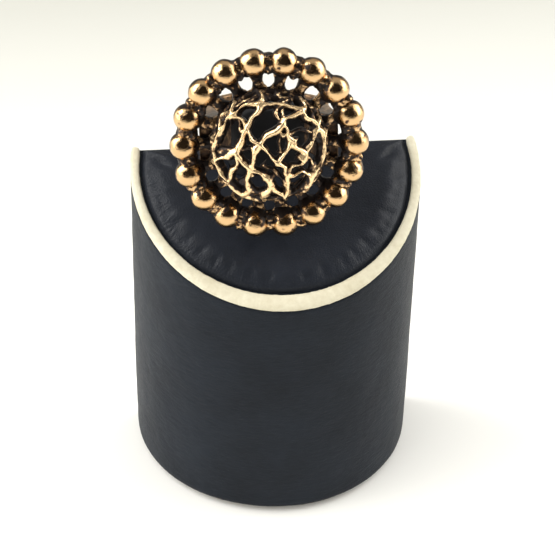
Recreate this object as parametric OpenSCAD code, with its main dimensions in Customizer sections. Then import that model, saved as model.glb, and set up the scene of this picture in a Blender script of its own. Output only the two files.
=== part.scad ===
// Finger ring with a domed openwork head, slid onto the tab of a half-round display stand.
// Millimetres, +Z up, front towards -Y, origin at the middle of the stand's underside.

/* [Stand] */
// Width of the half-round body
stand_w = 45; // [42:1:50]
// Height of the sloping top above the middle of the underside
top_h = 52.2; // [51.2:0.5:53.2]
// Slope of the top, down towards the front, in degrees
top_slope = 24.7; // [23.2:0.5:26.2]
// Distance from the middle to the flat back
back_y = 4.2; // [4:0.1:6]
// Thickness of the leatherette wrap with its card
wrap_t = 1; // [0.8:0.1:1.5]
// Width of the pale welt at the front of the top
welt_w = 2.3; // [1.8:0.1:3]
// Width of the pale welt at the sides of the top
welt_side_w = 1.4; // [1.2:0.1:2.3]
// Height that the welt stands above the sloping plane
welt_rise = 0.5; // [0.3:0.1:0.8]
// Height of the pad's crown above the sloping plane
pad_crown = 1.8; // [1:0.1:1.9]
// Thickness of the card under the body and of the card under the pad
board_t = 1.5; // [1:0.1:2]
// Thickness of the felt foot
felt_t = 0.8; // [0.5:0.1:1.5]

/* [Tab] */
// Width of the leather tab that the ring sits on
tab_w = 13; // [11:0.5:13]
// Sideways place of the tab
tab_x = -0.8; // [-1.2:0.1:-0.4]
// Thickness of the tab
tab_t = 4.5; // [3:0.5:5]
// Height of the tab's tip above the middle of the ring
tab_reach = 1.6; // [0:0.1:3]
// Distance of the tab behind the ring's axis
tab_back = 0.7; // [0:0.1:0.9]

/* [Ring] */
// Inside diameter of the ring
ring_d = 17; // [16.5:0.5:19]
// Thickness of the band
band_t = 1.1; // [0.9:0.1:1.6]
// Width of the band at the back of the finger
band_back_w = 2.4; // [2:0.1:4]
// Width of the band at its shoulders, under the head
band_front_w = 7.6; // [6:0.1:9]
// Lean of the finger axis towards the back, in degrees
ring_lean = 15; // [14:0.5:16]
// Turn of the ring on the tab, in degrees
ring_turn = -3; // [-9:1:9]
// Sideways place of the ring on the tab
ring_x = -1.6; // [-2:0.1:-0.6]
// Height of the ring's middle
ring_z = 60.9; // [60.5:0.1:61.5]

/* [Head] */
// Distance from the finger axis to the back of the head
head_offset = 10.9; // [10.8:0.1:11.2]
// Number of beads round the rim
bead_n = 18; // [16:1:18]
// Diameter of the circle through the bead centres
bead_circle_d = 25.2; // [25.2:0.1:26]
// Diameter of one bead
bead_d = 4.2; // [3.9:0.1:4.2]
// Largest diameter of the openwork dome
dome_d = 18.4; // [17.8:0.1:18.6]
// Height of the dome above the back of the head
dome_h = 7.2; // [6:0.1:8]
// Thickness of one strand of the dome
strand_d = 1; // [0.8:0.1:1.2]

/* [Hidden] */
bead_names = [for (i = [1 : bead_n]) str("bead_", i)];

big = 200;
stand_r = stand_w / 2;
core_r = stand_r - wrap_t;
hem_r = 0.8;
welt_drop = 0.5;
fit_gap = 0.2;
glue_gap = 0.1;
pad_half_w = stand_r - welt_side_w;
pad_front = stand_r - welt_w;
pad_skin = 0.8;
pad_side_h = 0.9;
pad_shoulder = 3.5;
pad_back_round = 1.5;
panel_t = wrap_t;
slot_gap = 0.3;

ring_y = 1.2;
tab_skin = 0.7;
tab_root = 22;
slot_depth = tab_root + 4;
tab_corner = 2.5;
band_r = ring_d / 2 + band_t;
shoulder_x = 10.3;
shoulder_w = 1.9;

bead_r = bead_d / 2;
bead_circle_r = bead_circle_d / 2;
bead_z = 1.5;
bead_gap = 0.06;
frame_in_r = 7.4;
frame_t = 1.1;
slot_in_r = 8.6;
foot_ring_r = 8.2;
web_in_d = 1.5;
web_in_z = frame_t - web_in_d / 2 - 0.05;
web_out_d = 2.2;
rim_r = bead_circle_r - 1.3;
rim_z = 0.7;
rim_d = 1.8;
collar_in_r = 7.5;
collar_out_r = 8.3;
collar_h = 0.9;
dome_r = (dome_d - strand_d) / 2;
dome_mid_z = 2.4;
dome_foot_r = 8.6;
foot_h = 0.6;
foot_down = 95;
strand_sides = 6;
strand_steps = 2;

// Junctions of the lace, as [x, y] seen from above the dome.
// Those further out than the dome stand on the collar.
lace_points = [
    [0.9, 9], [4.5, 7.8], [7.1, 5.5], [8.7, 2.5], [8.9, -1.1], [7.8, -4.5], [5.4, -7.2], [2.3, -8.7],
    [-1.3, -8.9], [-4.8, -7.6], [-7.5, -5], [-8.8, -1.9], [-8.8, 1.7], [-7.5, 5], [-5.2, 7.4], [-2.2, 8.7],
    [-5.5, 5.5], [-1.3, 7.2], [1.9, 4.6], [4.8, 6],
    [-7.6, 2.2], [-3.4, 3.9], [-1.5, 1.6], [3.4, 1.9], [6.9, 3.2],
    [-8, -1.6], [-5, 0.1], [-2.9, -2.3], [1, -1.4], [4.7, -1], [7.9, 0.2],
    [-6.2, -4.8], [-3.4, -4.8], [-0.3, -4], [2.5, -3.2], [6.4, -3.8],
    [-3.9, -7.3], [-0.9, -6.8], [2, -7.3], [5, -6.6]
];

// Strands of the lace, each a run of junctions, most of them from top to bottom.
lace_strands = [
    [14, 16, 20, 25, 31, 10],
    [15, 17, 21, 26, 27, 33, 37, 8],
    [16, 21, 22, 28, 34, 35],
    [0, 18, 22, 27, 32, 36, 9],
    [1, 19, 18, 23, 29, 34, 38, 7],
    [19, 24, 30, 35, 39, 6],
    [16, 17, 19],
    [2, 24, 29],
    [26, 31, 36],
    [25, 26],
    [23, 28],
    [33, 38],
    [3, 30, 4],
    [5, 35],
    [5, 39],
    [13, 20, 12],
    [12, 25, 11],
    [13, 16],
    [36, 8]
];

// Solid half-round prism of radius r, as far back as y
module half_round(r, y) {
    intersection() {
        cylinder(r = r, h = big, $fn = 96);
        translate([-big, y - 2 * big, 0]) cube([2 * big, 2 * big, big]);
    }
}

// Coordinates of the sloping top: Z is square to it
module on_top(rise = 0) {
    translate([0, 0, top_h]) rotate([top_slope, 0, 0]) translate([0, 0, rise]) children();
}

// Everything below the sloping plane, moved up by rise
module below_top(rise) {
    on_top(rise) translate([-big, -big, -2 * big]) cube([2 * big, 2 * big, 2 * big]);
}

// Coordinates of the tab: Z is the finger axis, the origin is the ring's middle
module on_tab() {
    translate([0, ring_y, ring_z]) rotate([-ring_lean, 0, 0]) children();
}

// Coordinates of the ring: Z is the finger axis and the head is towards -Y
module on_ring() {
    on_tab() translate([ring_x, 0, 0]) rotate([0, 0, ring_turn]) children();
}

// Coordinates of the head: Z points out of the head and Y is the finger axis
module on_head() {
    on_ring() translate([0, -head_offset, 0]) rotate([90, 0, 0]) children();
}

// Flat tongue with round edges, its tip rounded, grown by g on every side
module tongue(g, root) {
    w = tab_w + 2 * g;
    t = tab_t + 2 * g;
    top = tab_reach + g;
    corner = tab_corner + g;
    on_tab() translate([tab_x, tab_back, 0]) intersection() {
        translate([0, 0, top - root]) linear_extrude(root) union() {
            square([w - t, t], center = true);
            for (s = [-1, 1]) translate([s * (w - t) / 2, 0]) circle(d = t, $fn = 32);
        }
        rotate([90, 0, 0]) translate([0, 0, -t]) linear_extrude(2 * t) union() {
            translate([-w / 2, top - root]) square([w, root - corner]);
            translate([corner - w / 2, top - root]) square([w - 2 * corner, root]);
            for (s = [-1, 1]) translate([s * (w / 2 - corner), top - corner]) circle(r = corner, $fn = 48);
        }
    }
}

// Oval outline of the pad seen from above, shrunk by g, as far back as y, stretched by k front to back
module pad_outline(g, y, k) {
    w = pad_half_w - g;
    f = pad_front - g;
    side = asin(y / f);
    step = (180 + 2 * side) / 32;
    polygon([for (j = [0 : 32]) let (a = 180 - side + j * step) [w * cos(a), k * f * sin(a)]]);
}

// Slab of the pad's outline, lying in the sloping top, up to z
module pad_slab(g, y, z) {
    translate([0, 0, -welt_drop]) linear_extrude(z + welt_drop) pad_outline(g, y, 1 / cos(top_slope));
}

// Pad shape: a slab with a sloping shoulder, shrunk by g
module pad_form(g) {
    back = back_y - fit_gap - g;
    on_top() hull() {
        pad_slab(fit_gap + g, back, pad_side_h - g);
        pad_slab(pad_shoulder + g, back - pad_back_round, pad_crown - g);
    }
}

// Room inside the wrap and the back panel
module inside_wrap() {
    half_round(core_r - fit_gap, back_y - panel_t - fit_gap);
}

module felt_foot() {
    color("dimgray") intersection() {
        half_round(core_r - hem_r, back_y - hem_r);
        translate([-big, -big, 0]) cube([2 * big, 2 * big, felt_t]);
    }
}

module base_board() {
    color("burlywood") intersection() {
        inside_wrap();
        translate([-big, -big, felt_t]) cube([2 * big, 2 * big, board_t]);
    }
}

module core_block() {
    color("peru") difference() {
        intersection() {
            inside_wrap();
            below_top(-welt_drop - board_t - glue_gap);
            translate([-big, -big, felt_t + board_t]) cube([2 * big, 2 * big, big]);
        }
        tongue(slot_gap, slot_depth);
    }
}

module body_wrap() {
    color([0.17, 0.19, 0.21]) intersection() {
        rotate_extrude($fn = 96) polygon(concat(
            [[core_r, felt_t], [core_r, big / 2], [stand_r, big / 2]],
            [for (a = [0 : 15 : 90]) [stand_r - hem_r + hem_r * cos(a), felt_t + hem_r - hem_r * sin(a)]]));
        half_round(stand_r + 1, back_y);
        below_top(-welt_drop);
    }
}

module back_panel() {
    color([0.15, 0.17, 0.19]) intersection() {
        translate([-core_r, back_y - panel_t, felt_t]) cube([2 * core_r, panel_t, big]);
        half_round(core_r - glue_gap, back_y);
        below_top(-welt_drop);
    }
}

module pad_board() {
    color("tan") difference() {
        intersection() {
            inside_wrap();
            difference() {
                below_top(-welt_drop);
                below_top(-welt_drop - board_t);
            }
        }
        tongue(slot_gap, slot_depth);
    }
}

module pad_foam() {
    color("lightyellow") difference() {
        pad_form(pad_skin);
        tongue(slot_gap, slot_depth);
    }
}

module pad_cover() {
    color([0.18, 0.19, 0.22]) difference() {
        pad_form(0);
        pad_form(pad_skin);
        tongue(slot_gap, slot_depth);
    }
}

module welt() {
    color([0.95, 0.92, 0.8]) intersection() {
        difference() {
            half_round(stand_r, back_y);
            translate([0, 0, -1]) linear_extrude(big + 2) pad_outline(0, pad_front, 1);
        }
        difference() {
            below_top(welt_rise);
            below_top(-welt_drop);
        }
    }
}

module tab_core() {
    color("gray") tongue(-tab_skin, tab_root - tab_skin);
}

module tab_cover() {
    color([0.16, 0.17, 0.19]) difference() {
        tongue(0, tab_root);
        tongue(-tab_skin, tab_root + 1);
    }
}

// Half of the band's width at y, from the back of the finger to the shoulders
function band_half(y) =
    let (u = max(0, band_r - y) / (band_r + head_offset))
    (band_back_w + (band_front_w - band_back_w) * pow(u, 1.3)) / 2;

// Inner face of the shoulder on side s, -1 or 1, from the head to inside the bore
function shoulder_face(s) =
    [[s * (shoulder_x - shoulder_w), -head_offset], [s * 0.5 * band_r, -0.6 * band_r]];

// Solid joining the band to the head on side s
module shoulder(s) {
    translate([0, 0, -band_front_w]) linear_extrude(2 * band_front_w) polygon(concat(
        [[s * shoulder_x, -head_offset]],
        shoulder_face(s),
        [[s * 0.6 * band_r, -0.2 * band_r], [s * 0.97 * band_r, -0.15 * band_r]]));
}

// Opening between the shoulders: the band has no front, so the finger hole runs on into the dome
module front_opening() {
    left = shoulder_face(-1);
    right = shoulder_face(1);
    below = [0, -frame_t];
    translate([0, 0, -band_front_w]) linear_extrude(2 * band_front_w) polygon([
        left[0] + below, right[0] + below, right[0], right[1], left[1], left[0]]);
}

module shank() {
    side_y = [for (k = [0 : 16]) band_r + 1 - k * (band_r + 2 + head_offset) / 16];
    color("darkgoldenrod") on_ring() intersection() {
        difference() {
            union() {
                cylinder(r = band_r, h = 2 * band_front_w, center = true, $fn = 96);
                for (s = [-1, 1]) shoulder(s);
            }
            cylinder(d = ring_d, h = 3 * band_front_w, center = true, $fn = 96);
            front_opening();
        }
        rotate([90, 0, 90]) linear_extrude(2 * big, center = true) polygon(concat(
            [for (y = side_y) [y, band_half(y)]],
            [for (k = [len(side_y) - 1 : -1 : 0]) [side_y[k], -band_half(side_y[k])]]));
    }
}

// Degrees clockwise from the top to bead i
function bead_angle(i) = (i - 0.5) * 360 / bead_n;

// Place of bead i, in the head's coordinates
function bead_at(i) =
    [bead_circle_r * sin(bead_angle(i)), bead_circle_r * cos(bead_angle(i)), bead_z];

// One leaf of the frame, from the foot ring out to a bead
module web() {
    hull() {
        translate([0, foot_ring_r, web_in_z]) sphere(d = web_in_d, $fn = 10);
        translate([0, rim_r, rim_z]) sphere(d = web_out_d, $fn = 10);
    }
}

module petal_frame() {
    color("saddlebrown") on_head() difference() {
        union() {
            rotate_extrude($fn = 54) translate([rim_r, rim_z]) circle(d = rim_d, $fn = 10);
            difference() {
                cylinder(r = slot_in_r, h = frame_t, $fn = 72);
                translate([0, 0, -1]) cylinder(r = frame_in_r, h = frame_t + 2, $fn = 72);
            }
            for (i = [1 : bead_n]) rotate([0, 0, -bead_angle(i)]) web();
        }
        translate([0, 0, -rim_d]) cylinder(d = 2 * bead_circle_d, h = rim_d, $fn = 24);
        for (i = [1 : bead_n]) translate(bead_at(i)) sphere(d = bead_d + 2 * bead_gap, $fn = 24);
    }
}

module dome_collar() {
    color("saddlebrown") on_head() translate([0, 0, frame_t]) difference() {
        cylinder(r = collar_out_r, h = collar_h, $fn = 96);
        translate([0, 0, -1]) cylinder(r = collar_in_r, h = collar_h + 2, $fn = 96);
    }
}

// Place on the dome of a junction, or at its foot for one further out than the dome
function on_dome(p) =
    let (out = norm(p) / dome_r, down = out < 1 ? asin(out) : foot_down, turn = atan2(p[0], p[1]))
    [dome_r * sin(down) * sin(turn), dome_r * sin(down) * cos(turn),
     dome_mid_z + (dome_h - strand_d / 2 - dome_mid_z) * cos(down)];

// Point at u between b and c on the smooth curve through a, b, c and d
function smooth(a, b, c, d, u) =
    0.5 * (2 * b + (c - a) * u + (2 * a - 5 * b + 4 * c - d) * u * u
        + (3 * b - a - 3 * c + d) * u * u * u);

// Smooth path through the junctions of one strand
function strand_path(s) =
    let (p = [for (j = s) on_dome(lace_points[j])], n = len(p))
    concat(
        [for (k = [0 : n - 2]) for (m = [0 : strand_steps - 1])
            smooth(p[max(k - 1, 0)], p[k], p[k + 1], p[min(k + 2, n - 1)], m / strand_steps)],
        [p[n - 1]]);

// One strand: short rods with round ends, along its path
module strand(path) {
    for (k = [0 : len(path) - 2]) hull() {
        translate(path[k]) sphere(d = strand_d, $fn = strand_sides);
        translate(path[k + 1]) sphere(d = strand_d, $fn = strand_sides);
    }
}

module lace_dome() {
    color("goldenrod") on_head() difference() {
        union() {
            for (s = lace_strands) strand(strand_path(s));
            translate([0, 0, frame_t + collar_h]) difference() {
                cylinder(r = dome_foot_r, h = foot_h, $fn = 48);
                translate([0, 0, -foot_h]) cylinder(r = collar_in_r, h = 3 * foot_h, $fn = 48);
            }
        }
        translate([0, 0, frame_t + collar_h - dome_h]) cylinder(d = dome_d + 2, h = dome_h, $fn = 48);
    }
}

module bead(i) {
    color("gold") on_head() translate(bead_at(i)) sphere(d = bead_d, $fn = 32);
}

felt_foot();
base_board();
core_block();
body_wrap();
back_panel();
pad_board();
pad_foam();
pad_cover();
welt();
tab_core();
tab_cover();
shank();
petal_frame();
dome_collar();
lace_dome();
for (i = [1 : bead_n]) bead(i);
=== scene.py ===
"""Looks of a finger ring with an openwork domed head on its half-round display stand."""
import math
import random

import bmesh
import bpy
import numpy as np
from mathutils import Matrix, Vector, kdtree, noise


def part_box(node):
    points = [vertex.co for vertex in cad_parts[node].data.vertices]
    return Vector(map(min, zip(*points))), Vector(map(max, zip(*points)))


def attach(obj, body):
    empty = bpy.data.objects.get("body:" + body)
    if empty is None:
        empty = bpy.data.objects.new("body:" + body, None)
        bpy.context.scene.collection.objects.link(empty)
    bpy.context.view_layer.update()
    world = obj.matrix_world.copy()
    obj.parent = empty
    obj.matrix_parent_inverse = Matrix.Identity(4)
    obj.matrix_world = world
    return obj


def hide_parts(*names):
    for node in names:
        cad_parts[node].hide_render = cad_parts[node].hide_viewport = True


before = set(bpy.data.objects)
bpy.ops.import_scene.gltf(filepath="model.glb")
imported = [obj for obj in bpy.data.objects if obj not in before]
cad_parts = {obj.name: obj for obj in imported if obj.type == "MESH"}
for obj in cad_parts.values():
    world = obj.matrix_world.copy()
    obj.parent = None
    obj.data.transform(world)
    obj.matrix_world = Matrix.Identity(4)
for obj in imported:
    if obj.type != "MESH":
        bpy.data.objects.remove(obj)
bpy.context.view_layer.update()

MM = 0.001
random.seed(7)


# ---------------------------------------------------------------- places taken from the frame

stand_low, stand_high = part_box("body_wrap")
STAND_R = stand_high.x / MM
BACK_Y = stand_high.y / MM
TOP_SLOPE = math.radians(24.7)
WELT_DROP = 0.5
TOP_Z = stand_high.z / MM - BACK_Y * math.tan(TOP_SLOPE) + WELT_DROP / math.cos(TOP_SLOPE)
WELT_SIDE, WELT_FRONT = 1.4, 2.3
PAD_HALF_W = STAND_R - WELT_SIDE
PAD_FRONT = STAND_R - WELT_FRONT

BEAD_COUNT = 18
BEAD_Z = 1.5
BEAD_ROUGHNESS = 0.045
HEAD_OFFSET = 10.9
bead_places = [sum(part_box(f"bead_{i + 1}"), Vector()) / 2 for i in range(BEAD_COUNT)]
bead_low, bead_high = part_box("bead_1")
BEAD_R = (bead_high.x - bead_low.x) / 2 / MM
HEAD_MID = sum(bead_places, Vector()) / BEAD_COUNT
BEAD_CIRCLE_R = (bead_places[0] - HEAD_MID).length / MM
RING_LEAN = math.radians(15)
RING_TURN = math.radians(-3)
TO_RING = Matrix.Rotation(-RING_LEAN, 4, "X") @ Matrix.Rotation(RING_TURN, 4, "Z")
TO_HEAD = TO_RING @ Matrix.Rotation(math.radians(90), 4, "X")
SCALE = Matrix.Scale(MM, 4)

# Each of these takes millimetres in its own coordinates to metres in the shared frame.
HEAD = Matrix.Translation(HEAD_MID) @ TO_HEAD @ SCALE @ Matrix.Translation((0, 0, -BEAD_Z))
RING = HEAD @ Matrix.Rotation(math.radians(-90), 4, "X") @ Matrix.Translation((0, HEAD_OFFSET, 0))
TOP = Matrix.Translation((0, 0, TOP_Z * MM)) @ Matrix.Rotation(TOP_SLOPE, 4, "X") @ SCALE


def placed(name, data):
    """New object in the scene."""
    thing = bpy.data.objects.new(name, data)
    bpy.context.scene.collection.objects.link(thing)
    return thing


# ---------------------------------------------------------------- camera

CAMERA_ELEVATION = math.radians(38)
CAMERA_AZIMUTH = math.radians(-6.53)
CAMERA_ROLL = math.radians(1.31)
CAMERA_DISTANCE = 0.330
CAMERA_LENS = 132.8
CAMERA_TARGET = Vector((0.00063, -0.00007, 0.03062))


def make_camera():
    """Camera that looks at CAMERA_TARGET from the front and above, rolled a little."""
    back = Vector((math.sin(CAMERA_AZIMUTH) * math.cos(CAMERA_ELEVATION),
                   -math.cos(CAMERA_AZIMUTH) * math.cos(CAMERA_ELEVATION),
                   math.sin(CAMERA_ELEVATION)))
    level = Vector((math.cos(CAMERA_AZIMUTH), math.sin(CAMERA_AZIMUTH), 0))
    above = back.cross(level)
    right = math.cos(CAMERA_ROLL) * level + math.sin(CAMERA_ROLL) * above
    up = back.cross(right)
    data = bpy.data.cameras.new("camera")
    data.lens = CAMERA_LENS
    data.sensor_width = 36
    data.clip_start, data.clip_end = 0.01, 20
    camera = placed("camera", data)
    turn = Matrix((right, up, back)).transposed().to_4x4()
    camera.matrix_world = Matrix.Translation(CAMERA_TARGET + back * CAMERA_DISTANCE) @ turn
    bpy.context.scene.camera = camera


make_camera()


# ---------------------------------------------------------------- light and floor

# The room that lights the stand, and the darker one that shiny surfaces mirror.
WALL = (0.50, 0.487, 0.455)
CEILING = (0.95, 0.94, 0.90)
REFLECTED_WALL = (0.20, 0.19, 0.17)
REFLECTED_CEILING = (0.60, 0.58, 0.54)
WINDOW = (3.0, 3.0, 2.9)
REFLECTED_WINDOW = (4.5, 4.4, 4.1)
VIEWER = (0.02, 0.017, 0.015)
# The back tone is painted shade: the floor darkens behind the stand where the room's light falls off.
FLOOR_FRONT, FLOOR_BACK_SHADED = (0.93, 0.92, 0.885, 1), (0.52, 0.515, 0.47, 1)
# Metres behind the middle between which the floor darkens, as painted shade for the room's light falling off.
FLOOR_SHADE_SPAN = (0.02, 0.14)
FLOOR_HALF = 3


def make_world():
    """Pale room with windows on both sides. The mirrored room also holds a viewer's dark shape."""
    world = bpy.data.worlds.new("studio")
    world.use_nodes = True
    bpy.context.scene.world = world
    tree = world.node_tree
    tree.nodes.clear()

    def add(kind, **settings):
        node = tree.nodes.new(kind)
        for key, value in settings.items():
            setattr(node, key, value)
        return node

    where = add("ShaderNodeTexCoord").outputs["Generated"]

    def towards(direction, start, end):
        """1 within a cone round the direction, 0 outside it."""
        dot = add("ShaderNodeVectorMath", operation="DOT_PRODUCT")
        tree.links.new(where, dot.inputs[0])
        dot.inputs[1].default_value = Vector(direction).normalized()
        span = add("ShaderNodeMapRange", interpolation_type="SMOOTHSTEP")
        tree.links.new(dot.outputs["Value"], span.inputs["Value"])
        span.inputs["From Min"].default_value = start
        span.inputs["From Max"].default_value = end
        return span.outputs["Result"]

    def mixed(factor, under, over):
        mix = add("ShaderNodeMix", data_type="RGBA")
        tree.links.new(factor, mix.inputs["Factor"])
        for socket, value in ((mix.inputs["A"], under), (mix.inputs["B"], over)):
            if isinstance(value, bpy.types.NodeSocket):
                tree.links.new(value, socket)
            else:
                socket.default_value = (*value, 1)
        return mix.outputs["Result"]

    overhead = towards((0, 0, 1), 0.1, 0.9)
    left, right = towards((-0.9, -0.2, 0.25), 0.76, 0.8), towards((0.92, -0.1, 0.3), 0.9, 0.93)
    room = mixed(right, mixed(left, mixed(overhead, WALL, CEILING), WINDOW), WINDOW)
    mirrored = mixed(overhead, REFLECTED_WALL, REFLECTED_CEILING)
    wide_left = towards((-0.9, -0.2, 0.3), 0.66, 0.7)
    mirrored = mixed(right, mixed(wide_left, mirrored, REFLECTED_WINDOW), REFLECTED_WINDOW)
    mirrored = mixed(towards((-0.1, -0.82, 0.56), 0.42, 0.5), mirrored, VIEWER)
    colour = mixed(add("ShaderNodeLightPath").outputs["Is Glossy Ray"], room, mirrored)
    light = add("ShaderNodeBackground")
    tree.links.new(colour, light.inputs["Color"])
    tree.links.new(light.outputs[0], add("ShaderNodeOutputWorld").inputs[0])


def area_light(name, place, size, power):
    """Rectangular light that points at the middle of the stand."""
    data = bpy.data.lights.new(name, "AREA")
    data.shape = "RECTANGLE"
    data.size, data.size_y = size
    data.energy = power
    lamp = placed(name, data)
    lamp.location = place
    lamp.rotation_euler = (Vector((0, 0, 0.04)) - Vector(place)).to_track_quat("-Z", "Y").to_euler()


def make_floor():
    """Large pale floor, darker towards the back by painted shade where the room's light falls off."""
    mesh = bpy.data.meshes.new("floor")
    corners = ((-1, -1), (1, -1), (1, 1), (-1, 1))
    mesh.from_pydata([(x * FLOOR_HALF, y * FLOOR_HALF, 0) for x, y in corners], [], [(0, 1, 2, 3)])
    floor = placed("floor", mesh)
    material = bpy.data.materials.new("floor")
    material.use_nodes = True
    tree = material.node_tree
    shader = tree.nodes["Principled BSDF"]
    place = tree.nodes.new("ShaderNodeSeparateXYZ")
    tree.links.new(tree.nodes.new("ShaderNodeTexCoord").outputs["Object"], place.inputs[0])
    fade = tree.nodes.new("ShaderNodeMapRange")
    tree.links.new(place.outputs["Y"], fade.inputs["Value"])
    fade.inputs["From Min"].default_value, fade.inputs["From Max"].default_value = FLOOR_SHADE_SPAN
    tone = tree.nodes.new("ShaderNodeMix")
    tone.data_type = "RGBA"
    tree.links.new(fade.outputs["Result"], tone.inputs["Factor"])
    tone.inputs["A"].default_value, tone.inputs["B"].default_value = FLOOR_FRONT, FLOOR_BACK_SHADED
    tree.links.new(tone.outputs["Result"], shader.inputs["Base Color"])
    shader.inputs["Roughness"].default_value = 0.6
    mesh.materials.append(material)


make_world()
area_light("window_left", (-0.7, 0.1, 0.75), (0.7, 0.7), 5)
area_light("window_right", (0.75, 0.25, 0.6), (0.6, 0.6), 3.5)
make_floor()
bpy.context.scene.view_settings.view_transform = "Standard"


# ---------------------------------------------------------------- helpers for meshes

def points_of(mesh):
    values = np.zeros(len(mesh.vertices) * 3, np.float32)
    mesh.vertices.foreach_get("co", values)
    return values.reshape(-1, 3).astype(float)


def normals_of(mesh):
    values = np.zeros(len(mesh.vertices) * 3, np.float32)
    mesh.vertex_normals.foreach_get("vector", values)
    return values.reshape(-1, 3).astype(float)


def set_points(mesh, points):
    mesh.vertices.foreach_set("co", np.asarray(points, np.float32).ravel())
    mesh.update()


def push_out(piece, amounts):
    """Moves each point along its normal by its own amount, and gives the new places."""
    points = points_of(piece.data)
    points += normals_of(piece.data) * amounts(points)[:, None]
    set_points(piece.data, points)
    return points


def moved(points, matrix):
    turn = np.array(matrix)
    return points @ turn[:3, :3].T + turn[:3, 3]


def grain(points, size, seed=0.0, octaves=1):
    """Smooth noise from -1 to 1 at each point, with lumps of about that size."""
    offset = Vector((seed * 17.3, seed * 5.1, seed * 29.7))
    return np.array([noise.fractal(Vector(point) / size + offset, 1.0, 2.0, octaves,
                                   noise_basis="PERLIN_ORIGINAL") for point in points])


def smooth_step(low, high, value):
    t = np.clip((value - low) / (high - low), 0, 1)
    return t * t * (3 - 2 * t)


def object_from(name, vertices, faces):
    mesh = bpy.data.meshes.new(name)
    mesh.from_pydata([tuple(v) for v in vertices], [], faces)
    mesh.validate()
    return placed(name, mesh)


def tube_faces(rows, around):
    """Walls and both ends of a tube of that many rows of points."""
    faces = []
    for row in range(rows - 1):
        for k in range(around):
            a, b = row * around + k, row * around + (k + 1) % around
            faces.append((a, b, b + around, a + around))
    faces.append(tuple(reversed(range(around))))
    faces.append(tuple(range((rows - 1) * around, rows * around)))
    return faces


def apply_modifiers(piece):
    """Keeps the shape that the modifiers give, and drops them."""
    graph = bpy.context.evaluated_depsgraph_get()
    graph.update()
    mesh = bpy.data.meshes.new_from_object(piece.evaluated_get(graph))
    piece.modifiers.clear()
    old = piece.data
    piece.data = mesh
    bpy.data.meshes.remove(old)


def subdivide(piece, levels):
    modifier = piece.modifiers.new("subdivide", "SUBSURF")
    modifier.levels = modifier.render_levels = levels
    apply_modifiers(piece)


def remesh(piece, size, rounds=0):
    """Turns the mesh into one closed skin of small squares, then smooths it."""
    modifier = piece.modifiers.new("remesh", "REMESH")
    modifier.mode = "VOXEL"
    modifier.voxel_size = size
    apply_modifiers(piece)
    if rounds:
        modifier = piece.modifiers.new("smooth", "SMOOTH")
        modifier.factor = 0.5
        modifier.iterations = rounds
        apply_modifiers(piece)


def set_wear_and_shade(piece, values):
    """How polished each point is, from 0, oxidised, to 1, bright. On the balls, low values also hold painted
    shade.
    """
    layer = piece.data.attributes.new("wear_and_shade", "FLOAT", "POINT")
    layer.data.foreach_set("value", np.clip(values, 0, 1).astype(np.float32))


def hand_over(piece, matrix, body, slot, material, *nodes):
    """Puts a finished piece in the shared frame, gives it its material, ties it to its body and hides the CAD
    nodes it replaces. The slot is not used.
    """
    set_points(piece.data, moved(points_of(piece.data), matrix))
    mesh = piece.data
    mesh.shade_smooth()
    mesh.materials.clear()
    mesh.materials.append(material)
    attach(piece, body)
    if nodes:
        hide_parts(*nodes)


def copy_of_node(node, name):
    """A free copy of a CAD node's mesh, in metres in the shared frame."""
    piece = placed(name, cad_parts[node].data.copy())
    piece.data.materials.clear()
    cleaner = bmesh.new()
    cleaner.from_mesh(piece.data)
    bmesh.ops.remove_doubles(cleaner, verts=cleaner.verts, dist=1e-6)
    cleaner.to_mesh(piece.data)
    cleaner.free()
    return piece


# ---------------------------------------------------------------- materials

class Nodes:
    """Short names for building one material's node tree."""

    def __init__(self, name):
        self.material = bpy.data.materials.new(name)
        self.material.use_nodes = True
        self.tree = self.material.node_tree
        self.shader = self.tree.nodes["Principled BSDF"]
        self.place = self.add("ShaderNodeTexCoord").outputs["Object"]

    def add(self, kind, **settings):
        node = self.tree.nodes.new(kind)
        for key, value in settings.items():
            setattr(node, key, value)
        return node

    def put(self, socket, value):
        if isinstance(value, bpy.types.NodeSocket):
            self.tree.links.new(value, socket)
        else:
            socket.default_value = value

    def noise(self, size, detail=2.0, rough=0.5, place=None):
        node = self.add("ShaderNodeTexNoise")
        self.put(node.inputs["Vector"], place or self.place)
        node.inputs["Scale"].default_value = 1 / size
        node.inputs["Detail"].default_value = detail
        node.inputs["Roughness"].default_value = rough
        return node.outputs["Fac"]

    def pebbles(self, size):
        node = self.add("ShaderNodeTexVoronoi", feature="DISTANCE_TO_EDGE")
        self.put(node.inputs["Vector"], self.place)
        node.inputs["Scale"].default_value = 1 / size
        return node.outputs["Distance"]

    def stretched(self, factors):
        node = self.add("ShaderNodeVectorMath", operation="MULTIPLY")
        self.put(node.inputs[0], self.place)
        node.inputs[1].default_value = factors
        return node.outputs[0]

    def math(self, operation, a, b=0.0):
        node = self.add("ShaderNodeMath", operation=operation)
        self.put(node.inputs[0], a)
        self.put(node.inputs[1], b)
        return node.outputs[0]

    def ramp(self, value, *stops):
        node = self.add("ShaderNodeValToRGB")
        self.put(node.inputs["Fac"], value)
        bar = node.color_ramp.elements
        while len(bar) < len(stops):
            bar.new(0.5)
        for element, (position, colour) in zip(bar, stops):
            element.position = position
            element.color = (*colour, 1)
        return node.outputs["Color"]

    def span(self, value, low, high, to_low, to_high):
        node = self.add("ShaderNodeMapRange")
        for socket, number in zip(node.inputs, (value, low, high, to_low, to_high)):
            self.put(socket, number)
        return node.outputs["Result"]

    def bump(self, height, distance, strength=1.0, under=None):
        node = self.add("ShaderNodeBump")
        self.put(node.inputs["Height"], height)
        node.inputs["Distance"].default_value = distance
        node.inputs["Strength"].default_value = strength
        if under is not None:
            self.put(node.inputs["Normal"], under)
        return node.outputs["Normal"]

    def set(self, **values):
        for key, value in values.items():
            self.put(self.shader.inputs[key.replace("_", " ")], value)


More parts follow.
